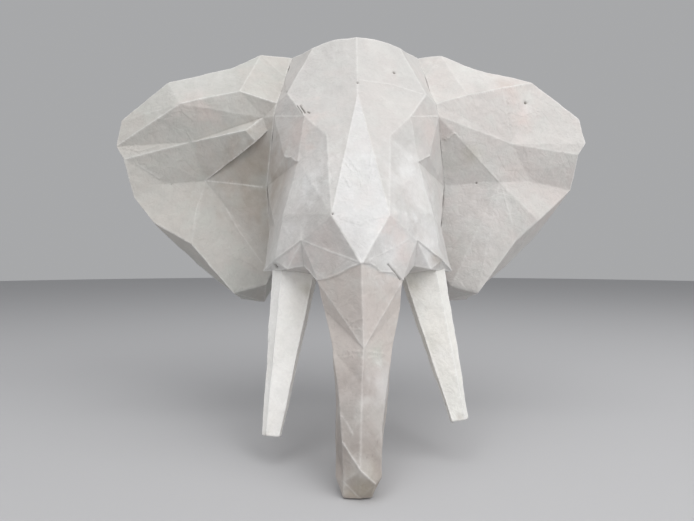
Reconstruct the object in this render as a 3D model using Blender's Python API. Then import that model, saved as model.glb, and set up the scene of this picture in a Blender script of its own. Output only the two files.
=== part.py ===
"""A faceted papier-mache elephant head that hangs on a wall.

The head with its trunk, the two ears and the two tusks are separate closed
pieces. The origin is the middle of the flat back of the neck, on the wall.
The face looks along -Y, +X is the viewer's right and +Z is up.

The head and the ears are folded from flat facets. The corners of the facets are
named marks, drawn on a square grid: how far a mark lies across from the middle,
how far out from the wall and how far up from the origin. Facets are laid in fans:
each one spans from the fan's hub to one step of a crease, a row of marks.
"""

import math

import bmesh
import bpy
from mathutils import Matrix, Vector

# Driving sizes, in metres
HEAD_HEIGHT = 0.312  # from the crown to the corner of the lip
TRUNK_LENGTH = 0.195  # from the corner of the lip to the trunk's end
LEFT_EAR_REACH = 0.196  # from the side of the neck to the ear's outermost corner
RIGHT_EAR_REACH = 0.185
LEFT_TUSK_LENGTH = 0.199  # from the ceiling of the socket to the tip
RIGHT_TUSK_LENGTH = 0.186
TUSK_ROOT_WIDTH = 0.056
TUSK_ROOT_DEPTH = 0.040
TUSK_TIP_WIDTH = 0.0195
TUSK_TIP_DEPTH = 0.017
TUSK_SEAT = 0.009  # how far a tusk goes up into its socket
SOCKET_DEPTH = 0.027  # of the cutter for a socket, from its ceiling to clear of the cheek
PAPER_GAP = 0.0003  # between pieces that touch

# How the tusks hang, in degrees from straight down
TUSK_LEAN = 19.0  # forwards
LEFT_TUSK_SPLAY = 6.5  # outwards
RIGHT_TUSK_SPLAY = 11.5

# The grids: squares in the head's height, the trunk's length and an ear's reach
HEAD_SQUARES = 312
TRUNK_SQUARES = 195
EAR_SQUARES = 191

LEFT, RIGHT = -1, 1
SIDES = {"left": LEFT, "right": RIGHT}

# The flat back of the neck, top to bottom: half width and height. Its sides run
# straight out from the wall, and the ears are stuck to them.
NECK_OUTLINE = {
    "neck_top": (90, 152),
    "neck_knee": (121, -38),
    "neck_low": (112, -156),
}

# Where an ear's front meets the side of the neck, top to bottom: out and up
ROOT_LINE = {
    "root_top": (50, 151),
    "root_fold": (80, 114),
    "root_crook": (95, 89),
    "root_band": (117, 66),
    "root_corner": (120, 49),
    "root_knee": (88, -38),
    "root_bend": (86, -93),
    "root_low": (80, -150),
}

# Marks on the face's middle line: out and up
MIDDLE_MARKS = {
    "crown_middle": (120, 151),
    "forehead_fold": (157, 83),
    "forehead_point": (172, 61),
    "lip_middle": (288, -143),
}

# Marks on each half of the face: across, out and up
FACE_MARKS = {
    "crown_edge": (27, 113, 151),
    "crown_shoulder": (42, 110, 148),
    "temple_top": (58, 108, 142),
    "temple": (89, 135, 73),
    "brow_outer": (64, 172, 34),
    "brow_inner": (37, 198, 5),
    "eye_outer": (90, 155, -11),
    "eye_inner": (71, 185, -23),
    "muzzle_side": (30, 265, -93),
    "cheek_upper": (78, 193, -55),
    "cheek_middle": (86, 200, -86),
    "cheek_low": (95, 205, -140),
    "cheek_fold": (63, 235, -119),
    "jaw_edge": (101, 165, -98),
    "jaw_tip": (114, 165, -153),
    "socket_outer": (80, 219, -150),
    "socket_inner": (61, 224, -146),
    "lip_corner": (45, 250, -161),
    "throat": (28, 190, -159),
}

# Marks on the trunk, which bends a little to the left: across, out, and down from
# the corner of the lip
TRUNK_MARKS = {
    "v_point": (2, 292, 65),
    "ridge_upper": (0, 303, 97),
    "ridge_middle": (-1, 314, 123),
    "ridge_low": (-3, 338, 165),
    "upper_side_left": (-38, 247, 31),
    "side_left": (-28, 270, 70),
    "lower_side_left": (-25, 270, 132),
    "low_side_left": (-25, 292, 154),
    "end_side_left": (-25, 312, 182),
    "corner_left": (-22, 302, 112),
    "low_corner_left": (-19, 320, 146),
    "end_corner_left": (-18, 327, 180),
    "upper_side_right": (43, 247, 27),
    "side_right": (32, 264, 74),
    "lower_side_right": (26, 270, 132),
    "low_side_right": (18, 315, 153),
    "end_side_right": (17, 327, 175),
    "upper_corner_right": (6, 294, 86),
    "corner_right": (18, 308, 140),
    "end_corner_right": (11, 335, 179),
    "foot_left": (-18, 326, 195),
    "foot_middle": (-3, 328, 195),
    "foot_right": (8, 326, 195),
    "upper_back_left": (-30, 198, 31),
    "back_left": (-24, 206, 73),
    "lower_back_left": (-19, 230, 132),
    "end_back_left": (-18, 268, 183),
    "foot_back_left": (-14, 294, 195),
    "upper_back_right": (33, 198, 31),
    "back_right": (27, 206, 73),
    "lower_back_right": (19, 230, 132),
    "end_back_right": (13, 268, 183),
    "foot_back_right": (7, 294, 195),
}

# The corners of an ear's back, behind the rim, in the rim's order
EAR_BACK_MARKS = {
    "back_top": (3, 35, 142),
    "back_top_outer": (45, 42, 122),
    "back_shoulder": (125, 50, 95),
    "back_outer_shoulder": (182, 50, 50),
    "back_outermost": (187, 50, 6),
    "back_scallop": (171, 50, -66),
    "back_lower_scallop": (144, 50, -105),
    "back_lower_edge": (101, 50, -147),
    "back_tip": (41, 50, -196),
    "back_inner_tip": (10, 42, -200),
    "back_middle": (75, 12, -20),
}

# Where an ear's back meets the side of the neck, top to bottom: out and up
BACK_ROOT_LINE = {
    "back_root_top": (25, 146),
    "back_root_knee": (14, -38),
    "back_root_low": (40, -165),
}

# Marks on the front of each ear: beyond the knee of the neck's side, out and up. The
# left ear is creased into a ledge under its upper band, the right into a ridge.
LEFT_EAR_MARKS = {
    "top": (12, 65, 149),
    "top_outer": (51, 75, 126),
    "shoulder": (131, 88, 102),
    "outer_shoulder": (190, 96, 48),
    "outermost": (192, 108, 11),
    "notch": (180, 112, -7),
    "scallop": (170, 105, -57),
    "lower_scallop": (145, 106, -89),
    "lower_edge": (95, 108, -118),
    "tip": (41, 105, -184),
    "inner_tip": (2, 85, -173),
    "band_outer": (105, 124, 63),
    "band_middle": (31, 117, 82),
    "ledge_knee": (97, 106, 17),
    "ledge_upper": (2, 110, 49),
    "ledge_lower": (23, 120, 30),
    "ledge_end": (10, 116, 16),
    "ledge_root": (-4, 110, 32),
    "hub": (83, 84, -31),
    "outer_hub": (134, 94, -36),
}
RIGHT_EAR_MARKS = {
    "top": (0, 65, 149),
    "top_outer": (45, 75, 127),
    "shoulder": (124, 90, 103),
    "outer_shoulder": (187, 98, 51),
    "outermost": (191, 110, 16),
    "notch": (180, 112, 0),
    "scallop": (177, 94, -44),
    "lower_scallop": (125, 111, -87),
    "lower_edge": (96, 108, -113),
    "tip": (43, 105, -184),
    "inner_tip": (8, 95, -175),
    "band_outer": (76, 106, 91),
    "band_middle": (27, 113, 79),
    "ridge": (87, 114, 14),
    "hub": (72, 108, -36),
    "outer_hub": (117, 101, -33),
}

# Each facet of the face's half lies between a corner and one step of a crease
NECK_FANS = (
    ("neck_knee", "neck_top root_top root_fold root_crook root_band root_corner root_knee"),
    ("neck_knee", "root_knee root_bend root_low neck_low"),
    ("neck_top", "root_top temple_top crown_shoulder crown_edge crown_middle"),
    ("root_fold", "root_top temple_top"),
)
FACE_FANS = (
    ("forehead_fold", "temple_top crown_shoulder crown_edge crown_middle"),
    ("temple", "temple_top root_fold root_crook root_band root_corner brow_outer"),
    ("temple", "brow_outer forehead_point forehead_fold temple_top"),
    ("forehead_point", "brow_outer brow_inner muzzle_side"),
    ("brow_outer", "root_corner eye_outer eye_inner brow_inner"),
    ("eye_inner", "brow_inner muzzle_side cheek_upper"),
    ("root_knee", "root_corner eye_outer eye_inner cheek_upper jaw_edge root_bend"),
    ("root_bend", "jaw_edge jaw_tip root_low"),
    ("cheek_middle", "cheek_upper muzzle_side cheek_fold cheek_low"),
    ("jaw_edge", "cheek_upper cheek_middle cheek_low jaw_tip"),
    ("lip_middle", "muzzle_side cheek_fold lip_corner"),
    ("cheek_fold", "cheek_low socket_outer socket_inner lip_corner"),
    ("socket_outer", "cheek_low jaw_tip"),
    ("throat", "lip_corner socket_inner socket_outer jaw_tip root_low neck_low"),
)
# Facets that cross the middle line
MIDDLE_FACETS = (
    "neck_top_left crown_middle neck_top_right",
    "forehead_point muzzle_side_left muzzle_side_right",
    "lip_middle muzzle_side_left muzzle_side_right",
    "neck_low_left throat_left throat_right neck_low_right",
    "neck_top_left neck_knee_left neck_low_left neck_low_right neck_knee_right neck_top_right",
)
TRUNK_FRONT_FANS = (
    ("v_point", "side_left upper_side_left lip_corner_left lip_middle"),
    ("v_point", "lip_middle lip_corner_right upper_side_right side_right"),
    ("ridge_upper", "v_point side_left corner_left ridge_middle upper_corner_right v_point"),
    ("ridge_middle", "corner_left low_corner_left ridge_low corner_right upper_corner_right"),
    ("ridge_low", "corner_right low_side_right end_side_right end_corner_right foot_middle"),
    ("ridge_low", "foot_middle end_corner_left low_corner_left"),
    ("side_right", "v_point upper_corner_right corner_right lower_side_right"),
    ("corner_right", "lower_side_right low_side_right"),
    ("end_corner_right", "end_side_right foot_right foot_middle"),
    ("corner_left", "side_left lower_side_left low_side_left low_corner_left"),
    ("end_corner_left", "low_corner_left low_side_left end_side_left foot_left foot_middle"),
)
# The same on both sides of the trunk
TRUNK_SIDE_FANS = (
    ("upper_back", "throat lip_corner upper_side side back"),
    ("lower_back", "back side lower_side low_side end_back"),
    ("end_back", "low_side end_side foot foot_back"),
)
TRUNK_BACK = ("throat", "upper_back", "back", "lower_back", "end_back", "foot_back")
FOOT_FACET = "foot_left foot_middle foot_right foot_back_right foot_back_left"

# The fans of both ears, then each ear's own
EAR_FANS = (
    ("root_fold", "root_top top root_crook"),
    ("band_middle", "root_band root_crook top top_outer shoulder band_outer"),
    ("outer_hub", "notch scallop lower_scallop hub"),
    ("notch", "outermost back_outermost back_scallop scallop"),
    ("back_root_knee", "back_root_top root_top root_fold root_crook root_band root_corner"),
    ("back_root_knee", "root_corner root_knee root_bend root_low back_root_low"),
)
LEFT_EAR_FANS = (
    ("band_outer", "shoulder outer_shoulder outermost ledge_knee ledge_upper band_middle"),
    ("ledge_upper", "band_middle root_band root_corner ledge_root ledge_end ledge_lower ledge_knee"),
    ("ledge_knee", "outermost notch outer_hub hub ledge_lower"),
    ("hub", "lower_scallop lower_edge tip inner_tip root_low root_bend root_knee ledge_root"),
    ("hub", "ledge_root ledge_end ledge_lower"),
    ("root_corner", "ledge_root root_knee"),
)
RIGHT_EAR_FANS = (
    ("ridge", "band_outer shoulder outer_shoulder outermost notch outer_hub hub root_corner"),
    ("ridge", "root_corner root_band band_middle band_outer"),
    ("hub", "lower_scallop lower_edge tip inner_tip root_low root_bend root_knee root_corner"),
)
# The rim's corners paired with the back's, in the two runs that the notch parts
EAR_RIM_RUNS = (
    (
        "root_top top top_outer shoulder outer_shoulder outermost",
        "back_root_top back_top back_top_outer back_shoulder back_outer_shoulder back_outermost",
    ),
    (
        "scallop lower_scallop lower_edge tip inner_tip root_low",
        "back_scallop back_lower_scallop back_lower_edge back_tip back_inner_tip back_root_low",
    ),
)

# A tusk's section as shares of its width and depth: outwards and forwards
TUSK_SECTION = (
    (0.27, 0.50),
    (0.50, 0.12),
    (0.32, -0.50),
    (-0.32, -0.50),
    (-0.50, 0.06),
    (-0.43, 0.40),
)
TUSK_ROOT_MARK = (73, 176)  # across and out, on the head's grid

# Colour and roughness of the painted paper
HEAD_FINISH = ((0.70, 0.67, 0.64), 0.8)
EAR_FINISH = ((0.64, 0.63, 0.60), 0.85)
TUSK_FINISH = ((0.78, 0.76, 0.68), 0.7)


def neck_across(up):
    """Half the neck's width at a height, in squares."""
    rows = sorted(NECK_OUTLINE.values(), key=lambda row: -row[1])
    for (wide_above, above), (wide_below, below) in zip(rows, rows[1:]):
        if up >= below or (wide_below, below) == rows[-1]:
            share = (above - up) / (above - below)
            return wide_above + share * (wide_below - wide_above)


def head_place(across, out, up):
    """A point on the head's grid, in metres."""
    square = HEAD_HEIGHT / HEAD_SQUARES
    return Vector((across * square, -out * square, up * square))


def root_places(line, side, gap):
    """The marks of a line drawn on the side of the neck, set off by a gap."""
    return {
        name: head_place(side * neck_across(up), out, up) + Vector((side * gap, 0, 0))
        for name, (out, up) in line.items()
    }


def head_places():
    """Every mark of the head and trunk, by name."""
    places = {name: head_place(0, out, up) for name, (out, up) in MIDDLE_MARKS.items()}
    for word, side in SIDES.items():
        half = {name: head_place(side * across, 0, up) for name, (across, up) in NECK_OUTLINE.items()}
        half.update(root_places(ROOT_LINE, side, 0))
        for name, (across, out, up) in FACE_MARKS.items():
            half[name] = head_place(side * across, out, up)
        places.update({f"{name}_{word}": place for name, place in half.items()})
    lip_height = places["lip_corner_left"].z
    for name, (across, out, down) in TRUNK_MARKS.items():
        place = head_place(across, out, 0)
        place.z = lip_height - down * TRUNK_LENGTH / TRUNK_SQUARES
        places[name] = place
    return places


def ear_places(side, reach, front_marks):
    """Every mark of one ear, by name."""
    places = root_places({**ROOT_LINE, **BACK_ROOT_LINE}, side, PAPER_GAP)
    neck_side = NECK_OUTLINE["neck_knee"][0] * HEAD_HEIGHT / HEAD_SQUARES
    for name, (beyond, out, up) in {**front_marks, **EAR_BACK_MARKS}.items():
        place = head_place(0, out, up)
        place.x = side * (neck_side + beyond * reach / EAR_SQUARES)
        places[name] = place
    return places


def both_sides(name, word, places):
    """The full name of a mark on one side, or the name itself on the middle line."""
    return name if name in places else f"{name}_{word}"


class Folding:
    """A mesh in the making: its marks as vertices, and facets laid between them."""

    def __init__(self, places):
        self.mesh = bmesh.new()
        self.corners = {name: self.mesh.verts.new(place) for name, place in places.items()}

    def facet(self, names):
        self.mesh.faces.new([self.corners[name] for name in names])

    def fan(self, hub, crease):
        """A facet from the hub to each step of the crease."""
        for first, second in zip(crease, crease[1:]):
            self.facet((hub, first, second))

    def strip(self, one, other):
        """Two facets between each step of one crease and the same step of another."""
        for i in range(len(one) - 1):
            self.facet((one[i], one[i + 1], other[i + 1]))
            self.facet((one[i], other[i + 1], other[i]))


def to_object(name, mesh, material=None):
    """An object of a finished mesh, its faces turned outwards."""
    bmesh.ops.recalc_face_normals(mesh, faces=mesh.faces)
    data = bpy.data.meshes.new(name)
    mesh.to_mesh(data)
    mesh.free()
    if material:
        data.materials.append(material)
    return bpy.data.objects.new(name, data)


def make_material(name, finish):
    """A plain material in a finish's colour and roughness."""
    colour, roughness = finish
    material = bpy.data.materials.new(name)
    material.use_nodes = True
    shader = material.node_tree.nodes["Principled BSDF"]
    shader.inputs["Base Color"].default_value = (*colour, 1)
    shader.inputs["Roughness"].default_value = roughness
    shader.inputs["Metallic"].default_value = 0
    return material


def make_head():
    """The forehead, cheeks, neck and trunk, folded as one."""
    places = head_places()
    head = Folding(places)
    for word in SIDES:
        for hub, crease in NECK_FANS + FACE_FANS + TRUNK_SIDE_FANS:
            names = [both_sides(name, word, places) for name in crease.split()]
            head.fan(both_sides(hub, word, places), names)
    for hub, crease in TRUNK_FRONT_FANS:
        head.fan(hub, crease.split())
    for facet in MIDDLE_FACETS + (FOOT_FACET,):
        head.facet(facet.split())
    head.strip([f"{name}_left" for name in TRUNK_BACK], [f"{name}_right" for name in TRUNK_BACK])
    return to_object("head", head.mesh, make_material("head_paper", HEAD_FINISH))


def make_ear(name, side, reach, front_marks, own_fans):
    """One ear: creased in front, closed behind and flat where it meets the neck."""
    ear = Folding(ear_places(side, reach, front_marks))
    for hub, crease in EAR_FANS + own_fans:
        ear.fan(hub, crease.split())
    back_rim = []
    for rim, back in EAR_RIM_RUNS:
        ear.strip(rim.split(), back.split())
        back_rim += back.split()
    ear.fan("back_middle", back_rim + ["back_root_knee", back_rim[0]])
    return to_object(name, ear.mesh, make_material(f"{name}_paper", EAR_FINISH))


def tusk_mesh(side, length, splay, clearance=0, share_kept=1):
    """A tapering tusk or, with a clearance and a share kept, the hole for its root."""
    mesh = bmesh.new()
    square = HEAD_HEIGHT / HEAD_SQUARES
    across, out = TUSK_ROOT_MARK
    ceiling = FACE_MARKS["socket_outer"][2] * square + TUSK_SEAT
    root = Vector((side * across * square, -out * square, ceiling))
    rings = []
    for share, lift in ((0, clearance), (share_kept, 0)):
        width = TUSK_ROOT_WIDTH + share * (TUSK_TIP_WIDTH - TUSK_ROOT_WIDTH) + 2 * clearance
        depth = TUSK_ROOT_DEPTH + share * (TUSK_TIP_DEPTH - TUSK_ROOT_DEPTH) + 2 * clearance
        rings.append(
            [
                mesh.verts.new((side * wide * width, -deep * depth, lift - share * length))
                for wide, deep in TUSK_SECTION
            ]
        )
    for i in range(len(TUSK_SECTION)):
        mesh.faces.new((rings[0][i - 1], rings[0][i], rings[1][i], rings[1][i - 1]))
    mesh.faces.new(rings[0])
    mesh.faces.new(rings[1])
    lean = Matrix.Rotation(math.radians(-TUSK_LEAN), 4, "X")
    outwards = Matrix.Rotation(math.radians(-side * splay), 4, "Y")
    bmesh.ops.transform(mesh, matrix=Matrix.Translation(root) @ outwards @ lean, verts=mesh.verts)
    return mesh


def cut_socket(head, cutter):
    """Open a socket in the underside of the cheek for a tusk's root."""
    cutter.hide_render = True
    cutter.display_type = "WIRE"
    cut = head.modifiers.new(cutter.name, "BOOLEAN")
    cut.operation = "DIFFERENCE"
    cut.solver = "EXACT"
    cut.object = cutter


def main():
    for old in list(bpy.data.objects):
        bpy.data.objects.remove(old)
    pieces = bpy.data.collections.new("elephant_head")
    cutters = bpy.data.collections.new("socket_cutters")
    for collection in (pieces, cutters):
        bpy.context.scene.collection.children.link(collection)

    head = make_head()
    pieces.objects.link(head)
    for name, side, reach, front_marks, own_fans in (
        ("ear_left", LEFT, LEFT_EAR_REACH, LEFT_EAR_MARKS, LEFT_EAR_FANS),
        ("ear_right", RIGHT, RIGHT_EAR_REACH, RIGHT_EAR_MARKS, RIGHT_EAR_FANS),
    ):
        pieces.objects.link(make_ear(name, side, reach, front_marks, own_fans))
    cream = make_material("tusk_paper", TUSK_FINISH)
    for word, side, length, splay in (
        ("left", LEFT, LEFT_TUSK_LENGTH, LEFT_TUSK_SPLAY),
        ("right", RIGHT, RIGHT_TUSK_LENGTH, RIGHT_TUSK_SPLAY),
    ):
        pieces.objects.link(to_object(f"tusk_{word}", tusk_mesh(side, length, splay), cream))
        hole = tusk_mesh(side, length, splay, PAPER_GAP, SOCKET_DEPTH / length)
        cutter = to_object(f"socket_{word}", hole)
        cutters.objects.link(cutter)
        cut_socket(head, cutter)


main()
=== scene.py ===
"""Looks of a faceted papier-mache elephant head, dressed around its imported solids.

Every piece of the head is skinned with pasted, painted paper: its facets are divided
finely, their creases softened and raised, and the folds, wrinkles, strip edges, cracks
and pits of the paper are modelled in the mesh. Marks are millimetres across from the
middle, out from the flat back and up from the origin.
"""

import logging
import math
from dataclasses import dataclass, replace
from enum import Enum
from typing import Any, Sequence, Union

import bmesh
import bpy
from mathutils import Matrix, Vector, geometry, kdtree, noise


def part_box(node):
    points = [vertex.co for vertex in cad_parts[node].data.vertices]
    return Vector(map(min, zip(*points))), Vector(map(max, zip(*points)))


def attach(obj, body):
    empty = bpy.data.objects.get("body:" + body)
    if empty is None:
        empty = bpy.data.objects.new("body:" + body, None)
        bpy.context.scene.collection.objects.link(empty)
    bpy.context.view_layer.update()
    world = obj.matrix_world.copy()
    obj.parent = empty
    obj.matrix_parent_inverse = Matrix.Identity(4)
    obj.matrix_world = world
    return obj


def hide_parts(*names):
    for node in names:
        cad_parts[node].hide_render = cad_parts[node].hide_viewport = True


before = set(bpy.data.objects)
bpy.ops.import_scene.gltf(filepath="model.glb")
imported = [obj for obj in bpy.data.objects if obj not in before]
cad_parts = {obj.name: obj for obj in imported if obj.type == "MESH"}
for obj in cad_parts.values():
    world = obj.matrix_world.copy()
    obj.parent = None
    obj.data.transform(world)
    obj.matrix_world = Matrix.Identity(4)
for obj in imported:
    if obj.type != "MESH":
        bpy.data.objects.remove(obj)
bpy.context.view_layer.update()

LOG = logging.getLogger("elephant_head")
MM = 0.001

Mark = tuple[float, float, float]
Colour = tuple[float, float, float]
Segment = tuple[Vector, Vector]


class Line(Enum):
    """What a line on the paper is."""

    RIDGE = "a crease that stands out"
    VALLEY = "a crease that lies in"
    FOLD = "a faint fold, a little raised"
    WRINKLE = "a fine crinkle in one layer"
    OVERLAP = "the edge of a pasted strip"
    CRACK = "a dark slit"


class Tint(Enum):
    """Colours that a stain, or a patch of painted shade or light, turns the paint towards."""

    PINK = (0.70, 0.575, 0.535)
    BROWN = (0.36, 0.30, 0.245)
    GREY = (0.45, 0.44, 0.425)
    GREEN = (0.55, 0.60, 0.53)
    OLIVE = (0.36, 0.34, 0.24)
    CHALK = (0.82, 0.82, 0.815)


@dataclass(frozen=True)
class Stroke:
    """A line on the paper through a few marks."""

    kind: Line
    marks: tuple[Mark, ...]
    weight: float = 1.0

    def segments(self) -> list[Segment]:
        """The straight parts of the line, in metres."""
        places = [to_place(mark) for mark in self.marks]
        return list(zip(places, places[1:]))


@dataclass(frozen=True)
class Pit:
    """A small hole worn through the paint."""

    mark: Mark
    reach: float = 1.5


@dataclass(frozen=True)
class StainAndShade:
    """A soft patch where the paint turns towards a tint: most are real stains, and some are painted
    shade, shadow or light.
    """

    mark: Mark
    reach: float
    tint: Tint
    strength: float


@dataclass(frozen=True)
class Rumple:
    """A patch where the paper dried in small wrinkles."""

    mark: Mark
    reach: float
    height: float = 0.6


@dataclass(frozen=True)
class Rise:
    """How high a kind of line stands and how far it is felt, in metres."""

    height: float
    reach: float


LINE_RISES = {
    Line.RIDGE: Rise(0.00030, 0.0012),
    Line.FOLD: Rise(0.00040, 0.0011),
    Line.WRINKLE: Rise(0.00045, 0.0012),
    Line.CRACK: Rise(-0.0022, 0.0007),
}


@dataclass(frozen=True)
class Ripple:
    """A fractal pattern: its scale per metre, and how its octaves are weighted."""

    scale: float
    smoothness: float
    step: float = 2.0
    octaves: int = 3

    def at(self, point: Vector, away: Vector = Vector()) -> float:
        """The pattern's height at a point, drawn some way off in the pattern."""
        return noise.fractal(
            point * self.scale + away, self.smoothness, self.step, self.octaves
        )


WAVES = Ripple(22.0, 0.9, 2.1)
RAGGED_EDGE = Ripple(70.0, 0.8)
RUMPLES = Ripple(210.0, 0.7)
TORN_EDGE = Ripple(330.0, 0.6)


@dataclass(frozen=True)
class Division:
    """How finely the skin is divided, and how near to its lines, in metres."""

    open_cell: float = 0.0052
    crease_cell: float = 0.0026
    detail_cell: float = 0.0014
    crease_zone: float = 0.0022
    stroke_zone: float = 0.0026
    pit_zone: float = 0.0045
    soft_zone: float = 0.0009
    same_corner: float = 0.00002
    rounds: int = 8


@dataclass(frozen=True)
class Relief:
    """How far the pasted paper stands proud of its facets, in metres."""

    wave: float = 0.0010
    crinkle: float = 0.00030
    crinkle_scale: float = 95.0
    rumple_stretch: float = 0.6
    rumple_level: float = 0.35
    strip: float = 0.00040
    strip_edge: float = 0.0009
    strip_end: float = 0.0005
    strip_fade: float = 0.009
    strip_reach: float = 0.02
    pit_depth: float = 0.0024
    pit_share: float = 0.8
    back_fade: float = 0.004


@dataclass(frozen=True)
class Wear:
    """How far chalky creases, the painted shade of concave creases, pits, and the patches of stain
    and painted shade reach over the paint.
    """

    ridge: float = 0.0012
    fold: float = 0.0010
    # How far the painted shade of a concave crease reaches
    valley: float = 0.0011
    crack: float = 0.0006
    darkness: float = 0.95
    pit_share: float = 0.62
    stain_and_shade_end: float = 2.2
    raggedness: float = 0.55


@dataclass(frozen=True)
class PaperFinish:
    """Painted paper: its colours, how matt it is and how rough it feels."""

    name: str
    colour: Colour
    warm: Colour
    cool: Colour
    soil: Colour
    roughness: float
    cloud: float
    relief: float


HEAD_PAINT = PaperFinish(
    name="white_paint_head",
    colour=(0.582, 0.568, 0.55),
    warm=(0.66, 0.60, 0.575),
    cool=(0.66, 0.67, 0.64),
    soil=(0.09, 0.075, 0.06),
    roughness=0.72,
    cloud=0.5,
    relief=1.0,
)
KITE_WHITE: Colour = (0.68, 0.675, 0.67)
TRUNK_UPPER: Colour = (0.595, 0.545, 0.51)
# The trunk's lower part and end: its own greyer paint, darkened further with painted shade
TRUNK_LOWER_SHADED: Colour = (0.365, 0.325, 0.30)
TRUNK_END_SHADED: Colour = (0.37, 0.32, 0.28)
# The same white paint on both ears: the left ear's copy is darker as painted shade
LEFT_EAR_SHADED_PAINT = PaperFinish(
    name="white_paint_shaded_ear_left",
    colour=(0.525, 0.517, 0.488),
    warm=(0.59, 0.53, 0.49),
    cool=(0.54, 0.56, 0.52),
    soil=(0.10, 0.08, 0.06),
    roughness=0.78,
    cloud=0.6,
    relief=1.1,
)
# The right ear's copy of the ear paint, lighter as painted light
RIGHT_EAR_LIT_PAINT = PaperFinish(
    name="white_paint_lit_ear_right",
    colour=(0.625, 0.605, 0.582),
    warm=(0.66, 0.595, 0.57),
    cool=(0.65, 0.66, 0.63),
    soil=(0.10, 0.08, 0.06),
    roughness=0.78,
    cloud=0.7,
    relief=1.2,
)
# The left tusk's cream paint, lighter as painted light than the right tusk's
LEFT_TUSK_LIT_PAINT = PaperFinish(
    name="cream_paint_lit_tusk_left",
    colour=(0.925, 0.915, 0.89),
    warm=(0.88, 0.84, 0.77),
    cool=(0.84, 0.85, 0.80),
    soil=(0.16, 0.11, 0.06),
    roughness=0.62,
    cloud=0.5,
    relief=0.9,
)
# The right tusk's copy of the same cream paint, darker as painted shade
RIGHT_TUSK_SHADED_PAINT = replace(
    LEFT_TUSK_LIT_PAINT, name="cream_paint_shaded_tusk_right", colour=(0.82, 0.81, 0.775)
)


def to_place(mark: Mark) -> Vector:
    """A mark as a point in metres."""
    across, out, up = mark
    return Vector((across, -out, up)) * MM


def clamp(value: float) -> float:
    """The value, kept from 0 to 1."""
    return min(1.0, max(0.0, value))


def bell(distance: float, reach: float) -> float:
    """One at no distance, falling smoothly to nothing past the reach.

    Args:
        distance: How far away the point is.
        reach: Where the bell has fallen to about a third.

    Returns:
        A share from 0 to 1.
    """
    return math.exp(-((distance / reach) ** 2))


class Value:
    """A socket of a material's nodes, used in plain arithmetic."""

    def __init__(self, nodes: "NodeTree", socket: bpy.types.NodeSocket) -> None:
        """Wrap a socket of a node tree."""
        self.nodes = nodes
        self.socket = socket

    def _math(self, operation: str, first: Any, second: Any) -> "Value":
        """A Math node on two values."""
        return self.nodes.node("ShaderNodeMath", {"operation": operation}, {0: first, 1: second})

    def __add__(self, other: Union["Value", float]) -> "Value":
        """The sum."""
        return self._math("ADD", self, other)

    __radd__ = __add__

    def __sub__(self, other: Union["Value", float]) -> "Value":
        """The difference."""
        return self._math("SUBTRACT", self, other)

    def __rsub__(self, other: float) -> "Value":
        """The difference from a number."""
        return self._math("SUBTRACT", other, self)

    def __mul__(self, other: Union["Value", float]) -> "Value":
        """The product."""
        return self._math("MULTIPLY", self, other)

    __rmul__ = __mul__

    def band(self, low: float, high: float) -> "Value":
        """How far the value has risen smoothly from a low level to a high one.

        Args:
            low: Where the result is 0.
            high: Where the result is 1.

        Returns:
            A value from 0 to 1.
        """
        return self.nodes.node(
            "ShaderNodeMapRange",
            {"interpolation_type": "SMOOTHSTEP"},
            {"Value": self, "From Min": low, "From Max": high},
        )


class NodeTree:
    """The nodes of one material."""

    def __init__(self, name: str) -> None:
        """Start a material that holds only its Principled shader.

        Args:
            name: The material's name.
        """
        self.material = bpy.data.materials.new(name)
        self.material.use_nodes = True
        self.tree = self.material.node_tree
        self.shader = self.tree.nodes["Principled BSDF"]

    def node(
        self,
        kind: str,
        settings: dict[str, Any] | None = None,
        inputs: dict[Any, Any] | None = None,
        output: Any = 0,
    ) -> Value:
        """Add any node.

        Args:
            kind: The node's type.
            settings: Its own settings, set first.
            inputs: Values or links of its sockets, by name or number.
            output: The socket that is wanted, by name or number.

        Returns:
            The wanted output.
        """
        made = self.tree.nodes.new(kind)
        for name, value in (settings or {}).items():
            setattr(made, name, value)
        for name, value in (inputs or {}).items():
            if isinstance(value, Value):
                self.tree.links.new(value.socket, made.inputs[name])
            else:
                made.inputs[name].default_value = value
        return Value(self, made.outputs[output])

    def mix(self, share: Value | float, first: Any, second: Any, blend: str = "MIX") -> Value:
        """Two colours mixed.

        Args:
            share: How much of the second.
            first: The first colour.
            second: The second colour.
            blend: How they are laid over each other.

        Returns:
            The mixed colour.
        """
        settings = {"data_type": "RGBA", "blend_type": blend, "clamp_result": False}
        return self.node("ShaderNodeMix", settings, {0: share, 6: first, 7: second}, 2)

    def connect(self, socket: str, value: Value) -> None:
        """Feed a socket of the shader."""
        self.tree.links.new(value.socket, self.shader.inputs[socket])


@dataclass(frozen=True)
class Cloud:
    """Soft noise: its scale per metre, its detail and its distortion."""

    scale: float
    detail: float
    distortion: float = 0.0


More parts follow.
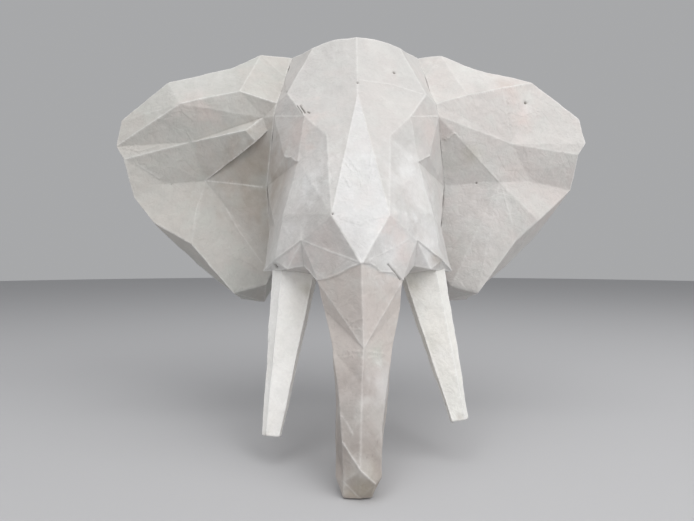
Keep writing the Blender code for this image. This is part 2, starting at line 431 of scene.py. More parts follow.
class PaperMaterial(NodeTree):
    """Painted paper that reads the skin's own paint, soil and crease attributes."""

    WASH, WASH_BAND = Cloud(15.0, 3.0, 0.8), (0.42, 0.64)
    BLOOM, BLOOM_BAND = Cloud(33.0, 4.0, 0.5), (0.46, 0.68)
    BLOTCH = Cloud(48.0, 3.0, 0.7)
    CRINKLE = Cloud(85.0, 6.0, 0.9)
    FIBRE = Cloud(130.0, 5.0, 1.4)
    GRAIN = Cloud(420.0, 3.0)
    DARKEST_TONE = 0.80
    CHALKY_WHITE = (0.88, 0.87, 0.85, 1.0)
    STRIP_CELLS = {"Scale": 34.0, "Smoothness": 0.05, "Randomness": 1.0}
    BUMP = {"Strength": 0.75, "Distance": 0.0016}
    ROUGHNESS_SWING = 0.16

    def __init__(self, finish: PaperFinish) -> None:
        """Mix the paint and the feel of a finish."""
        super().__init__(finish.name)
        self.finish = finish
        self.place = self.node("ShaderNodeTexCoord", output="Object")
        self.grain = self.cloud(self.GRAIN)
        self.fibre = self.cloud(self.FIBRE)
        self.connect("Base Color", self.colour())
        self.connect("Roughness", finish.roughness + (self.fibre - 0.5) * self.ROUGHNESS_SWING)
        self.connect("Normal", self.bump())

    def cloud(self, cloud: Cloud) -> Value:
        """Soft noise over the piece."""
        inputs = {
            "Vector": self.place,
            "Scale": cloud.scale,
            "Detail": cloud.detail,
            "Distortion": cloud.distortion,
        }
        return self.node("ShaderNodeTexNoise", {"noise_dimensions": "3D"}, inputs)

    def attribute(self, name: str, output: str = "Fac") -> Value:
        """One of the skin's own attributes."""
        return self.node("ShaderNodeAttribute", {"attribute_name": name}, output=output)

    def tinted(self, share: Value, paint: Value, tint: Colour) -> Value:
        """The paint, turned towards a tint by a share.

        Args:
            share: Where the tint lies, from 0 to 1.
            paint: The colour below.
            tint: The colour that it turns half way to.

        Returns:
            The tinted colour.
        """
        halfway = self.mix(0.5, paint, (*tint, 1.0))
        return self.mix(share * self.finish.cloud, paint, halfway)

    def colour(self) -> Value:
        """The paint with its washes and texture, chalky ridges, painted shade in concave creases,
        and soil.

        Returns:
            The colour.
        """
        paint = self.attribute("paint", "Color")
        wash = self.cloud(self.WASH).band(*self.WASH_BAND)
        bloom = self.cloud(self.BLOOM).band(*self.BLOOM_BAND)
        washed = self.tinted(bloom, self.tinted(wash, paint, self.finish.warm), self.finish.cool)
        texture = self.grain * 0.10 + self.fibre * 0.16 + self.cloud(self.BLOTCH) * 0.14
        tone = texture + self.DARKEST_TONE
        grey = self.node("ShaderNodeCombineColor", {}, {0: tone, 1: tone, 2: tone})
        toned = self.mix(1.0, washed, grey, "MULTIPLY")
        soil = (*self.finish.soil, 1.0)
        worn = self.attribute("ridge") * (self.fibre * 1.15 - 0.05)
        # Painted shade: concave creases darkened towards the soil colour
        crease_shade = self.attribute("valley") * (self.fibre * 0.35)
        chalky = self.mix(worn, toned, self.CHALKY_WHITE)
        return self.mix(self.attribute("soil"), self.mix(crease_shade, chalky, soil), soil)

    def bump(self) -> Value:
        """The grain, fibres, crinkles and strips of the paper as a bump.

        Returns:
            The bumped normal.
        """
        cells = self.node(
            "ShaderNodeTexVoronoi",
            {"voronoi_dimensions": "3D", "feature": "SMOOTH_F1"},
            {"Vector": self.place, **self.STRIP_CELLS},
            "Color",
        )
        strips = self.node("ShaderNodeSeparateColor", {}, {0: cells})
        crinkles = self.cloud(self.CRINKLE)
        height = self.grain * 0.10 + self.fibre * 0.35 + crinkles * 0.75 + strips * 0.16
        inputs = {**self.BUMP, "Height": height * self.finish.relief}
        return self.node("ShaderNodeBump", {}, inputs, "Normal")


class LineField:
    """Lines of one kind, and how far any point is from the nearest of them."""

    SAMPLE = 0.0015

    def __init__(self, segments: Sequence[Segment], weights: Sequence[float] = ()) -> None:
        """Sample every segment closely enough to find the nearest one.

        Args:
            segments: The straight parts of the lines.
            weights: How clearly each part shows.
        """
        self.segments = list(segments)
        self.weights = list(weights) or [1.0] * len(self.segments)
        samples = []
        for index, (start, end) in enumerate(self.segments):
            count = max(2, round((end - start).length / self.SAMPLE) + 1)
            samples += [(start.lerp(end, i / (count - 1)), index) for i in range(count)]
        self.tree = kdtree.KDTree(len(samples))
        for point, index in samples:
            self.tree.insert(point, index)
        self.tree.balance()

    def nearest(self, point: Vector) -> tuple[float, Vector, Vector, float]:
        """Where the nearest line passes a point.

        Args:
            point: A point in metres.

        Returns:
            The distance, the nearest point of the line, the line's direction and weight.
        """
        if not self.segments:
            return 1.0, point, Vector((1, 0, 0)), 0.0
        index = self.tree.find(point)[1]
        start, end = self.segments[index]
        share = geometry.intersect_point_line(point, start, end)[1]
        on_line = start.lerp(end, clamp(share))
        return (point - on_line).length, on_line, (end - start).normalized(), self.weights[index]

    def distance(self, point: Vector) -> float:
        """How far the nearest line is, in metres."""
        return self.nearest(point)[0]

    def share(self, point: Vector, reach: float) -> float:
        """How much of the nearest line's weight is felt at a point."""
        gap, _, _, weight = self.nearest(point)
        return weight * bell(gap, reach)


@dataclass
class PaperPiece:
    """One piece of the head, skinned with pasted paper."""

    node: str
    slot: str
    finish: PaperFinish
    strokes: tuple[Stroke, ...] = ()
    pits: tuple[Pit, ...] = ()
    rumples: tuple[Rumple, ...] = ()
    # Real stains, and patches of painted shade, shadow and light
    stains_and_shade: tuple[StainAndShade, ...] = ()
    seed: float = 0.0
    division: Division = Division()
    relief: Relief = Relief()
    wear: Wear = Wear()
    flat: float = 0.3
    least_crease: float = 3.0
    least_ridge: float = 10.0
    least_valley: float = 26.0
    sharp: float = 60.0

    def facets(self) -> bmesh.types.BMesh:
        """The solid's own facets, joined at their corners.

        Returns:
            The facets, divided no further than into triangles.
        """
        mesh = bmesh.new()
        mesh.from_mesh(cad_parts[self.node].data)
        bmesh.ops.remove_doubles(mesh, verts=mesh.verts, dist=self.division.same_corner)
        bmesh.ops.dissolve_limit(
            mesh, angle_limit=math.radians(self.flat), verts=mesh.verts, edges=mesh.edges
        )
        bmesh.ops.triangulate(mesh, faces=mesh.faces)
        return mesh

    def read_lines(self, mesh: bmesh.types.BMesh) -> None:
        """Sort the facets' creases and the piece's strokes by kind.

        Args:
            mesh: The solid's facets.
        """
        found: dict[Line, list[Segment]] = {kind: [] for kind in Line}
        weights: dict[Line, list[float]] = {kind: [] for kind in Line}
        creases: list[Segment] = []
        for edge in mesh.edges:
            turn = math.degrees(edge.calc_face_angle_signed(0.0))
            ends = tuple(vert.co.copy() for vert in edge.verts)
            if abs(turn) > self.least_crease:
                creases.append(ends)
            if turn > self.least_ridge:
                found[Line.RIDGE].append(ends)
                weights[Line.RIDGE].append(self.ridge_weight(turn, (ends[0] + ends[1]) / 2))
            if turn < -self.least_valley:
                found[Line.VALLEY].append(ends)
                weights[Line.VALLEY].append(min(1.0, -turn / self.sharp))
        for stroke in self.strokes:
            parts = stroke.segments()
            found[stroke.kind] += parts
            weights[stroke.kind] += [stroke.weight] * len(parts)
        self.lines = {kind: LineField(found[kind], weights[kind]) for kind in Line}
        self.creases = LineField(creases)
        self.drawn = LineField([part for stroke in self.strokes for part in stroke.segments()])
        self.holes = LineField([(to_place(p.mark), to_place(p.mark)) for p in self.pits])

    def ridge_weight(self, turn: float, middle: Vector) -> float:
        """How clearly a ridge shows, by its turn in degrees."""
        return min(1.0, turn / self.sharp)

    def cell(self, point: Vector) -> float:
        """The longest edge that the skin may have at a point.

        Args:
            point: A point on the facets, in metres.

        Returns:
            The length in metres.
        """
        division = self.division
        if self.holes.distance(point) < division.pit_zone:
            return division.detail_cell
        if self.drawn.distance(point) < division.stroke_zone:
            return division.detail_cell
        if self.creases.distance(point) < division.crease_zone:
            return division.crease_cell
        return division.open_cell

    def too_long(self, edge: bmesh.types.BMEdge) -> bool:
        """Whether an edge is longer than its place allows.

        Args:
            edge: An edge of the skin.

        Returns:
            True where it has to be halved.
        """
        length = edge.calc_length()
        if self.division.detail_cell < length <= self.division.open_cell:
            return length > self.cell((edge.verts[0].co + edge.verts[1].co) / 2)
        return length > self.division.open_cell

    def divide(self, mesh: bmesh.types.BMesh) -> None:
        """Halve the long edges in a few rounds, looking again only at what changed.

        Args:
            mesh: The piece's skin.
        """
        edges = list(mesh.edges)
        for _ in range(self.division.rounds):
            long_edges = [edge for edge in edges if self.too_long(edge)]
            cut = bmesh.ops.subdivide_edges(mesh, edges=long_edges, cuts=1, use_grid_fill=True)
            corners = [face for face in mesh.faces if len(face.verts) > 3]
            added = bmesh.ops.triangulate(mesh, faces=corners)["edges"]
            parts = [part for part in cut["geom"] if isinstance(part, bmesh.types.BMEdge)]
            edges = [edge for edge in parts if edge.is_valid] + added

    def soften(self, mesh: bmesh.types.BMesh) -> None:
        """Round the creases as pasted layers do."""
        near = [v for v in mesh.verts if self.creases.distance(v.co) < self.division.soft_zone]
        bmesh.ops.smooth_vert(
            mesh, verts=near, factor=0.5, use_axis_x=True, use_axis_y=True, use_axis_z=True
        )

    def lift(self, point: Vector, normal: Vector) -> float:
        """How far the paper stands proud of the facet at a point.

        Args:
            point: A point on the facets.
            normal: The facets' direction there.

        Returns:
            The lift in metres, less than 0 where the paper lies in.
        """
        relief = self.relief
        away = Vector((self.seed, self.seed * 0.7, -self.seed))
        height = relief.wave * WAVES.at(point, away)
        height += relief.crinkle * noise.turbulence(point * relief.crinkle_scale + away, 3, False)
        for kind, rise in LINE_RISES.items():
            height += rise.height * self.lines[kind].share(point, rise.reach)
        height += self.rumple_lift(point, away) + self.strip_lift(point, normal)
        for pit in self.pits:
            gap = (point - to_place(pit.mark)).length
            height -= relief.pit_depth * bell(gap, pit.reach * MM * relief.pit_share)
        return height * clamp(-point.y / relief.back_fade)

    def rumple_lift(self, point: Vector, away: Vector) -> float:
        """What the rumpled patches add at a point.

        Args:
            point: A point on the facets.
            away: How far off in the pattern the piece is drawn.

        Returns:
            The lift in metres.
        """
        height = 0.0
        stretch = self.relief.rumple_stretch
        stretched = Vector((point.x, point.y * stretch, point.z * stretch))
        for rumple in self.rumples:
            share = bell((point - to_place(rumple.mark)).length, rumple.reach * MM)
            if share > 0.05:
                ripple = abs(RUMPLES.at(stretched, away))
                height += share * rumple.height * MM * (self.relief.rumple_level - ripple)
        return height

    def strip_lift(self, point: Vector, normal: Vector) -> float:
        """What the edge of a pasted strip adds, on the side to the left of its run.

        Args:
            point: A point on the facets.
            normal: The facets' direction there.

        Returns:
            The lift in metres.
        """
        relief = self.relief
        gap, on_line, along, weight = self.lines[Line.OVERLAP].nearest(point)
        if gap >= relief.strip_reach:
            return 0.0
        side = (point - on_line).dot(normal.cross(along))
        step = clamp(0.5 + side / relief.strip_edge)
        within = bell(max(0.0, gap - abs(side)), relief.strip_end)
        return relief.strip * weight * bell(max(0.0, side), relief.strip_fade) * step * within

    def shape(self, mesh: bmesh.types.BMesh) -> None:
        """Move the skin to its waves, crinkles, strokes and pits.

        Args:
            mesh: The piece's skin.
        """
        mesh.normal_update()
        moves = [(v, v.normal * self.lift(v.co, v.normal)) for v in mesh.verts]
        for vert, move in moves:
            vert.co += move

    def base_paint(self, point: Vector) -> Vector:
        """The paint's own colour at a point."""
        return Vector(self.finish.colour)

    def paint_at(self, point: Vector) -> Vector:
        """The paint at a point, with its stains and its patches of painted shade, shadow and light.

        Args:
            point: A point on the facets, in metres.

        Returns:
            The colour.
        """
        colour = self.base_paint(point)
        # Real stains and patches of painted shade, shadow and light are blended in alike
        for stain_and_shade in self.stains_and_shade:
            gap = (point - to_place(stain_and_shade.mark)).length / (stain_and_shade.reach * MM)
            if gap < self.wear.stain_and_shade_end:
                ragged = gap * (1 + self.wear.raggedness * RAGGED_EDGE.at(point))
                share = stain_and_shade.strength * bell(ragged, 1.0)
                colour = colour.lerp(Vector(stain_and_shade.tint.value), clamp(share))
        return colour

    def soil_at(self, point: Vector) -> float:
        """How dark a crack or pit makes a point.

        Args:
            point: A point on the facets, in metres.

        Returns:
            A share from 0 to 1.
        """
        dark = self.lines[Line.CRACK].share(point, self.wear.crack)
        for pit in self.pits:
            gap = (point - to_place(pit.mark)).length
            dark = max(dark, bell(gap, pit.reach * MM * self.wear.pit_share))
        return self.wear.darkness * dark

    def write_attributes(self, mesh: bmesh.types.BMesh) -> dict[str, list[float]]:
        """Read paint, soil and creases at every corner of the undisplaced skin.

        Args:
            mesh: The piece's skin.

        Returns:
            Each attribute's values, by its name.
        """
        ridges, valleys, folds = (self.lines[kind] for kind in (Line.RIDGE, Line.VALLEY, Line.FOLD))
        wear = self.wear
        rows: dict[str, list[float]] = {"paint": [], "soil": [], "ridge": [], "valley": []}
        for vert in mesh.verts:
            chalk = max(ridges.share(vert.co, wear.ridge), folds.share(vert.co, wear.fold))
            rows["paint"] += [*self.paint_at(vert.co), 1.0]
            rows["soil"].append(self.soil_at(vert.co))
            rows["ridge"].append(chalk)
            rows["valley"].append(valleys.share(vert.co, wear.valley))
        return rows

    def finish_shape(self, mesh: bmesh.types.BMesh) -> None:
        """Anything of the piece's own, after the paper's relief."""

    def build(self) -> bpy.types.Object:
        """Make the skin, dress it and let it stand for its solid.

        Returns:
            The finished piece.
        """
        mesh = self.facets()
        self.read_lines(mesh)
        self.divide(mesh)
        self.soften(mesh)
        rows = self.write_attributes(mesh)
        self.shape(mesh)
        self.finish_shape(mesh)
        for face in mesh.faces:
            face.smooth = True
        data = bpy.data.meshes.new(f"paper_{self.node}")
        mesh.to_mesh(data)
        mesh.free()
        for name, values in rows.items():
            kind, key = ("FLOAT_COLOR", "color") if name == "paint" else ("FLOAT", "value")
            data.attributes.new(name, kind, "POINT").data.foreach_set(key, values)
        data.materials.append(PaperMaterial(self.finish).material)
        piece = bpy.data.objects.new(f"paper_{self.node}", data)
        bpy.context.scene.collection.objects.link(piece)
        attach(piece, "root")
        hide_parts(self.node)
        LOG.info("%s: %d triangles", piece.name, len(data.polygons))
        return piece


def fold(*marks: Mark, weight: float = 0.7) -> Stroke:
    """A faint fold."""
    return Stroke(Line.FOLD, marks, weight)


def wrinkle(*marks: Mark) -> Stroke:
    """A fine crinkle."""
    return Stroke(Line.WRINKLE, marks)


def crack(*marks: Mark) -> Stroke:
    """A dark slit."""
    return Stroke(Line.CRACK, marks)


def overlap(*marks: Mark, weight: float = 1.0) -> Stroke:
    """The edge of a pasted strip, raised on the side to the left of its run."""
    return Stroke(Line.OVERLAP, marks, weight)


def flap(*marks: Mark) -> tuple[Stroke, Stroke]:
    """The raised, torn edge of a brow's paper, with a chalky fold just above it."""
    above = tuple((across, out, up + 1) for across, out, up in marks)
    return overlap(*marks, weight=2.5), fold(*above, weight=0.8)


class Head(PaperPiece):
    """The forehead, cheeks, mouth and trunk."""

    KITE_TOP, KITE_SIDE, KITE_LOW = 0.061, -0.093, -0.143
    KITE_HALF = 0.030
    KITE_EDGE = 0.002
    FACE_DEPTH = -0.10
    LIP_HEIGHT = -0.143
    LIP_SLOPE = 0.40
    LIP_BAND = 0.02
    TRUNK_RIDGES = 0.35
    # How far below the lip's edge each tone of the trunk's paint lies; the lower tones add painted
    # shade to the trunk's own greyer paint
    LEVELS = (-0.0005, 0.0010, 0.080, 0.110, 0.175, 0.205)
    SHADES = (HEAD_PAINT.colour, TRUNK_UPPER, TRUNK_UPPER, TRUNK_LOWER_SHADED, TRUNK_LOWER_SHADED, TRUNK_END_SHADED)
    CRACKS = (
        crack((-75, 155, 52), (-68, 167, 39)),
        crack((-71, 156, 52), (-64, 168, 39)),
        crack((-61, 168, 40), (-58, 171, 38)),
        crack((28, 264, -144), (42, 252, -160)),
        crack((16, 280, -239), (24, 272, -252)),
        crack((-97, 196, -147), (-86, 214, -150)),
    )
    LIP_EDGE = (
        fold((-92, 210, -144), (-80, 219, -149), (-61, 224, -146), (-45, 250, -160), weight=0.9),
        fold((92, 210, -144), (80, 219, -149), (61, 224, -146), weight=0.6),
        overlap(
            (-45, 250, -161),
            (-33, 260, -159),
            (-23, 269, -155),
            (-11, 279, -148),
            (1, 288, -143),
            weight=3.2,
        ),
        overlap(
            (1, 288, -143),
            (9, 280, -144),
            (14, 276, -147),
            (19, 272, -152),
            (33, 260, -153),
            (41, 253, -158),
            (45, 250, -161),
            weight=2.6,
        ),
        fold(
            (-45, 250, -161),
            (-33, 260, -158),
            (-23, 269, -154),
            (-11, 279, -147),
            (1, 288, -142),
        ),
        fold((9, 280, -143), (14, 276, -146), (19, 272, -151), (33, 260, -152), (45, 250, -160)),
    )
    CHEEK_EDGES = (
        overlap(
            (-114, 165, -153), (-95, 205, -140), (-79, 220, -130), (-63, 235, -119), weight=3.0
        ),
        overlap((63, 235, -119), (79, 220, -130), (95, 205, -140), (114, 165, -153), weight=3.4),
        fold((-95, 205, -139), (-79, 220, -129), (-63, 235, -118), weight=0.8),
        fold((63, 235, -118), (79, 220, -129), (95, 205, -139), (113, 167, -151), weight=0.9),
    )
    MUZZLE_FOLDS = (
        fold((-62, 235, -118), (-31, 262, -131), (-3, 285, -141), weight=0.9),
        fold((51, 245, -118), (30, 263, -129), (5, 284, -141), weight=0.5),
        fold((0, 172, 61), (-30, 265, -93), weight=0.45),
        fold((0, 172, 61), (30, 265, -93), weight=0.35),
    )
    TRUNK_FOLDS = (
        fold((-45, 250, -162), (2, 292, -226), weight=0.55),
        fold((45, 250, -162), (2, 292, -226), weight=0.55),
        fold((-19, 320, -307), (-3, 338, -326), (11, 335, -340), weight=0.8),
        fold((-18, 327, -341), (-3, 328, -355), weight=0.5),
        fold((-20, 309, -286), (-15, 313, -291), (-9, 320, -300), weight=0.4),
    )
    BROWS = (
        *flap((-90, 155, -11), (-85, 163, -16), (-80, 171, -16), (-75, 179, -22), (-71, 185, -24)),
        *flap((71, 185, -24), (76, 178, -22), (81, 170, -17), (90, 155, -11)),
    )
    FOREHEAD_FOLDS = (
        fold((-105, 123, 47), (-64, 172, 34), weight=0.6),
        fold((106, 121, 48), (64, 172, 34), weight=0.6),
        fold((3, 156, 83), (43, 144, 82), (83, 137, 73), weight=0.5),
        overlap((-21, 267, -98), (-11, 269, -101), (0, 270, -105), (7, 268, -100), (24, 267, -96)),
    )
    WRINKLES = (
        wrinkle((-18, 226, -29), (-8, 235, -44)),
        wrinkle((-16, 240, -51), (-11, 246, -61)),
        wrinkle((-5, 229, -33), (2, 245, -61)),
        wrinkle((14, 233, -39), (8, 245, -61)),
        wrinkle((-18, 220, -17), (-4, 233, -39)),
        wrinkle((14, 219, -17), (12, 230, -36)),
        wrinkle((-16, 276, -198), (-9, 282, -201), (0, 290, -197)),
        wrinkle((-14, 276, -208), (-1, 289, -208)),
        wrinkle(
            (-21, 277, -235), (-9, 285, -230), (0, 292, -229), (14, 283, -232), (22, 274, -234)
        ),
        wrinkle((-22, 276, -238), (-8, 286, -234), (2, 291, -233)),
    )

    def __init__(self) -> None:
        """Set out the folds, cracks, pits and stains of the head, with its patches of painted
        shade, shadow and light.
        """
        super().__init__(
            "head",
            "head_paper",
            HEAD_PAINT,
            strokes=(
                self.CRACKS
                + self.LIP_EDGE
                + self.CHEEK_EDGES
                + self.MUZZLE_FOLDS
                + self.TRUNK_FOLDS
                + self.BROWS
                + self.FOREHEAD_FOLDS
                + self.WRINKLES
            ),
            pits=(
                Pit((-90, 129, 76), 2.0),
                Pit((0, 160, 79), 2.4),
                Pit((48, 133, 101), 2.2),
                Pit((-29, 264, -92), 1.7),
                Pit((-96, 198, -147), 4.0),
            ),
            rumples=(
                Rumple((0, 238, -48), 26, 0.8),
                Rumple((-8, 280, -203), 12, 0.9),
                Rumple((-10, 284, -233), 9, 1.0),
                Rumple((14, 281, -232), 7, 1.0),
                Rumple((-76, 222, -138), 13, 1.4),
                Rumple((28, 262, -122), 18, 0.6),
                Rumple((-20, 255, -118), 18, 0.4),
                Rumple((-16, 321, -307), 3, 2.0),
                Rumple((5, 308, -273), 3, 1.6),
                Rumple((4, 327, -316), 2, 2.0),
            ),
            stains_and_shade=(
                StainAndShade((-60, 200, -58), 36, Tint.CHALK, 0.75),
                StainAndShade((-76, 205, -110), 26, Tint.CHALK, 0.45),
                StainAndShade((-36, 255, -128), 26, Tint.PINK, 0.30),
                StainAndShade((64, 198, -58), 36, Tint.CHALK, 0.75),
                StainAndShade((80, 205, -110), 30, Tint.CHALK, 0.60),
                StainAndShade((0, 280, -122), 16, Tint.GREY, 0.36),
                # Painted shade: grey down the lower trunk, most on its left
                StainAndShade((-12, 305, -285), 28, Tint.GREY, 0.40),
                # Painted shadow: brown beneath the edge of the right cheek's flap
                StainAndShade((84, 214, -137), 5, Tint.BROWN, 0.5),
                StainAndShade((92, 207, -142), 5, Tint.BROWN, 0.6),
                StainAndShade((36, 255, -120), 30, Tint.CHALK, 0.95),
                StainAndShade((-72, 225, -136), 16, Tint.CHALK, 0.35),
                StainAndShade((74, 225, -136), 16, Tint.CHALK, 0.50),
                StainAndShade((39, 256, -114), 14, Tint.PINK, 0.45),
                StainAndShade((30, 264, -103), 9, Tint.PINK, 0.45),
                StainAndShade((48, 248, -135), 12, Tint.PINK, 0.45),
                StainAndShade((-72, 226, -137), 14, Tint.PINK, 0.35),
                StainAndShade((14, 281, -233), 9, Tint.GREEN, 0.6),
                # Painted light: chalk lightening the trunk's right side, which faces the light
                StainAndShade((23, 286, -262), 17, Tint.CHALK, 0.55),
                StainAndShade((-70, 171, 18), 24, Tint.PINK, 0.45),
                StainAndShade((92, 143, 25), 20, Tint.PINK, 0.35),
                # Painted shade: brown in the pocket beside the left cheek, where the cheek and the
                # ear shade the head's side
                StainAndShade((-100, 138, -45), 40, Tint.BROWN, 0.50),
                StainAndShade((-112, 110, -20), 30, Tint.BROWN, 0.45),
                # Painted shadow: brown beneath the edge of the right cheek's flap
                StainAndShade((88, 214, -138), 7, Tint.BROWN, 0.30),
                StainAndShade((-25, 262, -152), 12, Tint.BROWN, 0.15),
                # Painted shade: olive under the trunk's end
                StainAndShade((0, 330, -342), 16, Tint.OLIVE, 0.35),
            ),
            seed=3.0,
        )

    def ridge_weight(self, turn: float, middle: Vector) -> float:
        """How clearly a ridge shows, which is less on the trunk."""
        on_trunk = middle.z < self.LIP_HEIGHT - self.LIP_BAND
        return (self.TRUNK_RIDGES if on_trunk else 1.0) * super().ridge_weight(turn, middle)

    def kite_share(self, point: Vector) -> float:
        """How far a point lies inside the whiter kite down the middle of the face.

        Args:
            point: A point on the facets, in metres.

        Returns:
            A share from 0 to 1.
        """
        above = (self.KITE_TOP - point.z) / (self.KITE_TOP - self.KITE_SIDE)
        below = (point.z - self.KITE_LOW) / (self.KITE_SIDE - self.KITE_LOW)
        inside = self.KITE_HALF * min(above, below) - abs(point.x)
        return clamp(0.5 + inside / self.KITE_EDGE) if point.y < self.FACE_DEPTH else 0.0

    def base_paint(self, point: Vector) -> Vector:
        """White on the face, and greyer and pinker down the trunk from the lip's edge, darker
        towards its end with painted shade.

        Args:
            point: A point on the facets, in metres.

        Returns:
            The colour below the stains.
        """
        below_lip = self.LIP_HEIGHT - self.LIP_SLOPE * abs(point.x) - point.z
        if below_lip <= self.LEVELS[0]:
            return Vector(self.SHADES[0]).lerp(Vector(KITE_WHITE), self.kite_share(point))
        rows = list(zip(self.LEVELS, self.SHADES))
        for (start, upper), (end, lower) in zip(rows, rows[1:]):
            if below_lip <= end:
                return Vector(upper).lerp(Vector(lower), (below_lip - start) / (end - start))
        return Vector(self.SHADES[-1])


class LeftEar(PaperPiece):
    """The ear on the viewer's left."""

    def __init__(self) -> None:
        """Set out the folds, pits and stains of the left ear, and the painted shadow near its root.
        """
        super().__init__(
            "ear_left",
            "ear_left_paper",
            LEFT_EAR_SHADED_PAINT,
            strokes=(
                overlap((-257, 117, 42), (-243, 120, 51), (-228, 120, 54), (-214, 115, 42)),
                wrinkle((-223, 110, 28), (-217, 106, 18)),
                fold((-289, 107, -13), (-264, 97, -29), weight=0.5),
                fold((-202, 84, -31), (-166, 86, -35), (-128, 88, -40), weight=0.8),
                fold((-207, 86, -41), (-215, 95, -69), (-217, 103, -99), weight=0.4),
                fold((-178, 83, -69), (-159, 83, -101), (-129, 82, -143), weight=0.4),
                overlap((-173, 96, -134), (-151, 89, -142), (-129, 84, -156)),
                overlap((-156, 113, 19), (-194, 87, -26)),
                wrinkle((-308, 108, 9), (-287, 109, 4), (-261, 107, 12)),
            ),
            pits=(Pit((-160, 88, -126), 0.9), Pit((-250, 93, -37), 0.8)),
            rumples=(
                Rumple((-124, 112, 46), 12, 1.2),
                Rumple((-308, 108, 9), 16, 0.8),
                Rumple((-140, 88, -40), 26, 0.5),
            ),
            stains_and_shade=(
                StainAndShade((-217, 121, 59), 22, Tint.PINK, 0.30),
                StainAndShade((-195, 117, 52), 14, Tint.PINK, 0.35),
                # Painted shadow: brown near the left ear's root, where the head shades the ear
                StainAndShade((-150, 90, -22), 40, Tint.BROWN, 0.55),
                StainAndShade((-125, 96, 5), 26, Tint.BROWN, 0.40),
                StainAndShade((-142, 85, -62), 26, Tint.BROWN, 0.50),
                StainAndShade((-122, 84, -100), 20, Tint.BROWN, 0.35),
                StainAndShade((-218, 88, 122), 50, Tint.CHALK, 0.20),
                StainAndShade((-168, 105, -120), 34, Tint.CHALK, 0.12),
            ),
            seed=11.0,
        )


class RightEar(PaperPiece):
    """The ear on the viewer's right."""

    def __init__(self) -> None:
        """Set out the folds, pits and stains of the right ear."""
        super().__init__(
            "ear_right",
            "ear_right_paper",
            RIGHT_EAR_LIT_PAINT,
            strokes=(
                fold((144, 94, -38), (166, 101, -36), (188, 108, -36)),
                fold((195, 108, -45), (207, 108, -89)),
                overlap((129, 117, 27), (156, 113, -1), (188, 108, -34)),
                wrinkle((113, 112, 21), (120, 112, 21), (129, 117, 27)),
                wrinkle(
                    (201, 106, 84), (202, 107, 70), (203, 108, 57), (204, 110, 43), (204, 114, 19)
                ),
            ),
            pits=(Pit((229, 98, 73), 2.6), Pit((162, 100, -36), 1.6)),
            rumples=(
                Rumple((203, 108, 55), 24, 0.8),
                Rumple((204, 111, 36), 4, 2.2),
                Rumple((202, 107, 72), 4, 2.2),
                Rumple((120, 112, 21), 11, 1.4),
                Rumple((160, 110, 70), 22, 0.4),
            ),
            stains_and_shade=(
                StainAndShade((190, 85, 118), 46, Tint.CHALK, 0.12),
                StainAndShade((195, 105, 52), 34, Tint.GREY, 0.16),
                StainAndShade((160, 105, -75), 40, Tint.CHALK, 0.30),
                StainAndShade((132, 95, -45), 26, Tint.CHALK, 0.30),
                StainAndShade((166, 110, 83), 10, Tint.GREY, 0.45),
                StainAndShade((209, 102, 91), 20, Tint.PINK, 0.45),
                StainAndShade((222, 104, 50), 13, Tint.PINK, 0.55),
                StainAndShade((231, 100, 65), 9, Tint.CHALK, 0.3),
                StainAndShade((155, 112, -1), 11, Tint.OLIVE, 0.40),
                StainAndShade((167, 104, 92), 13, Tint.GREY, 0.35),
                StainAndShade((203, 96, 100), 14, Tint.BROWN, 0.25),
                StainAndShade((211, 107, -22), 18, Tint.PINK, 0.30),
                StainAndShade((274, 100, -59), 20, Tint.PINK, 0.20),
                StainAndShade((110, 115, 34), 16, Tint.PINK, 0.30),
                StainAndShade((127, 101, -12), 14, Tint.GREEN, 0.25),
            ),
            seed=23.0,
        )


@dataclass
class Tusk(PaperPiece):
    """A tusk with a torn end."""

    ragged: float = 0.0016
    torn_part: float = 0.006

    def finish_shape(self, mesh: bmesh.types.BMesh) -> None:
        """Tear the end of the tusk.

        Args:
            mesh: The piece's skin.
        """
        lowest = min(v.co.z for v in mesh.verts)
        for vert in mesh.verts:
            share = 1 - (vert.co.z - lowest) / self.torn_part
            if share > 0:
                vert.co.z += share * self.ragged * TORN_EDGE.at(vert.co)


def left_tusk() -> Tusk:
    """The tusk on the viewer's left, in the lighter copy of the cream paint, with painted shadow at
    its root.
    """
    return Tusk(
        "tusk_left",
        "tusk_paper",
        LEFT_TUSK_LIT_PAINT,
        stains_and_shade=(
            # Painted shadow: olive under the cheek's overhang at the tusk's root
            StainAndShade((-57, 204, -172), 9, Tint.OLIVE, 0.45),
            StainAndShade((-100, 248, -325), 4, Tint.BROWN, 0.45),
        ),
        pits=(Pit((-104, 246, -322), 0.8), Pit((-95, 250, -321), 0.7), Pit((-100, 248, -325), 0.8)),
        seed=31.0,
    )


def right_tusk() -> Tusk:
    """The tusk on the viewer's right, in the darker copy of the cream paint, with painted shadow at
    its root.
    """
    return Tusk(
        "tusk_right",
        "tusk_paper",
        RIGHT_TUSK_SHADED_PAINT,
        stains_and_shade=(
            # Painted shadow: olive under the cheek's overhang at the tusk's root
            StainAndShade((60, 204, -166), 9, Tint.OLIVE, 0.40),
            StainAndShade((76, 222, -233), 12, Tint.OLIVE, 0.20),
            StainAndShade((107, 244, -308), 4, Tint.BROWN, 0.45),
        ),
        pits=(
            Pit((76, 222, -233), 1.0),
            Pit((115, 244, -307), 1.0),
            Pit((100, 244, -306), 0.7),
            Pit((108, 245, -307), 0.8),
        ),
        seed=43.0,
    )


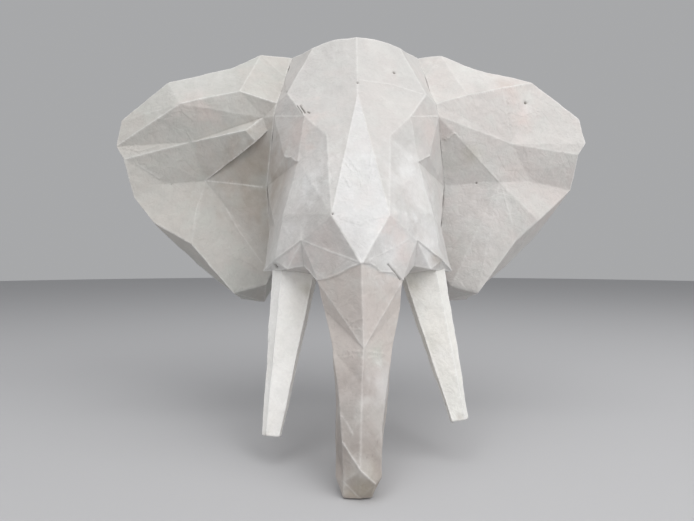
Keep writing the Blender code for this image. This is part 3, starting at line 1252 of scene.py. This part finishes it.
@dataclass(frozen=True)
class Lamp:
    """A soft square light: its place as a mark, its side in metres and power in watts."""

    name: str
    place: Mark
    size: float
    power: float
    colour: Colour = (1.0, 1.0, 1.0)

    def build(self, aim: Mark) -> None:
        """Hang the light and turn it towards a mark.

        Args:
            aim: The mark that it shines on.
        """
        data = bpy.data.lights.new(self.name, "AREA")
        data.size = self.size
        data.energy = self.power
        data.color = self.colour
        light = bpy.data.objects.new(self.name, data)
        light.location = to_place(self.place)
        towards = to_place(aim) - light.location
        light.rotation_euler = towards.to_track_quat("-Z", "Y").to_euler()
        bpy.context.scene.collection.objects.link(light)


@dataclass
class Studio:
    """The floor, the soft lights and the camera."""

    focal_px: float = 521.0
    image_width: int = 694
    film_width: float = 36.0
    camera_place: Mark = (-19.7, 800.0, -140.0)
    turn_px: float = 5.6
    floor_reach: float = 6.0
    floor_sides: int = 96
    floor_gap: float = 0.0015
    floor_colour: Colour = (0.52, 0.52, 0.53)
    floor_roughness: float = 0.9
    surround_colour: Colour = (0.97, 0.98, 1.0)
    surround_strength: float = 0.40
    aim: Mark = (0, 150, -100)
    lamps: tuple[Lamp, ...] = (
        Lamp("sky_light", (0, 1200, 1800), 2.4, 26.0),
        Lamp("window_light", (1600, 1500, 1100), 2.0, 25.0, (1.0, 0.99, 0.98)),
        Lamp("top_light", (0, 200, 2400), 2.2, 6.0),
        Lamp("left_light", (-1500, 1700, 100), 2.0, 7.0, (1.0, 0.98, 0.95)),
    )

    def build_floor(self) -> None:
        """A plain pale floor just under the trunk's foot."""
        mesh = bmesh.new()
        bmesh.ops.create_circle(
            mesh, cap_ends=True, segments=self.floor_sides, radius=self.floor_reach
        )
        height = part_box("head")[0].z - self.floor_gap
        bmesh.ops.translate(mesh, verts=mesh.verts, vec=(0, 0, height))
        data = bpy.data.meshes.new("floor")
        mesh.to_mesh(data)
        mesh.free()
        nodes = NodeTree("floor_pale")
        nodes.shader.inputs["Base Color"].default_value = (*self.floor_colour, 1)
        nodes.shader.inputs["Roughness"].default_value = self.floor_roughness
        data.materials.append(nodes.material)
        floor = bpy.data.objects.new("floor", data)
        bpy.context.scene.collection.objects.link(floor)

    def build_camera(self) -> None:
        """The camera where the photograph was taken from."""
        data = bpy.data.cameras.new("camera")
        data.sensor_width = self.film_width
        data.lens = self.film_width * self.focal_px / self.image_width
        camera = bpy.data.objects.new("camera", data)
        camera.location = to_place(self.camera_place)
        camera.rotation_euler = (math.radians(90), 0, -math.atan2(self.turn_px, self.focal_px))
        bpy.context.scene.collection.objects.link(camera)
        bpy.context.scene.camera = camera

    def build_lights(self) -> None:
        """Broad lights above and in front, most of it from the right, in a pale surround."""
        world = bpy.data.worlds.new("surround")
        world.use_nodes = True
        surround = world.node_tree.nodes["Background"]
        surround.inputs["Color"].default_value = (*self.surround_colour, 1)
        surround.inputs["Strength"].default_value = self.surround_strength
        bpy.context.scene.world = world
        for lamp in self.lamps:
            lamp.build(self.aim)
        bpy.context.scene.view_settings.view_transform = "Standard"

    def build(self) -> None:
        """Set the whole stage."""
        self.build_camera()
        self.build_floor()
        self.build_lights()


def main() -> None:
    """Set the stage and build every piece."""
    logging.basicConfig(level=logging.INFO, format="%(message)s")
    Studio().build()
    for piece in (Head(), LeftEar(), RightEar(), left_tusk(), right_tusk()):
        piece.build()


if __name__ == "__main__":
    main()
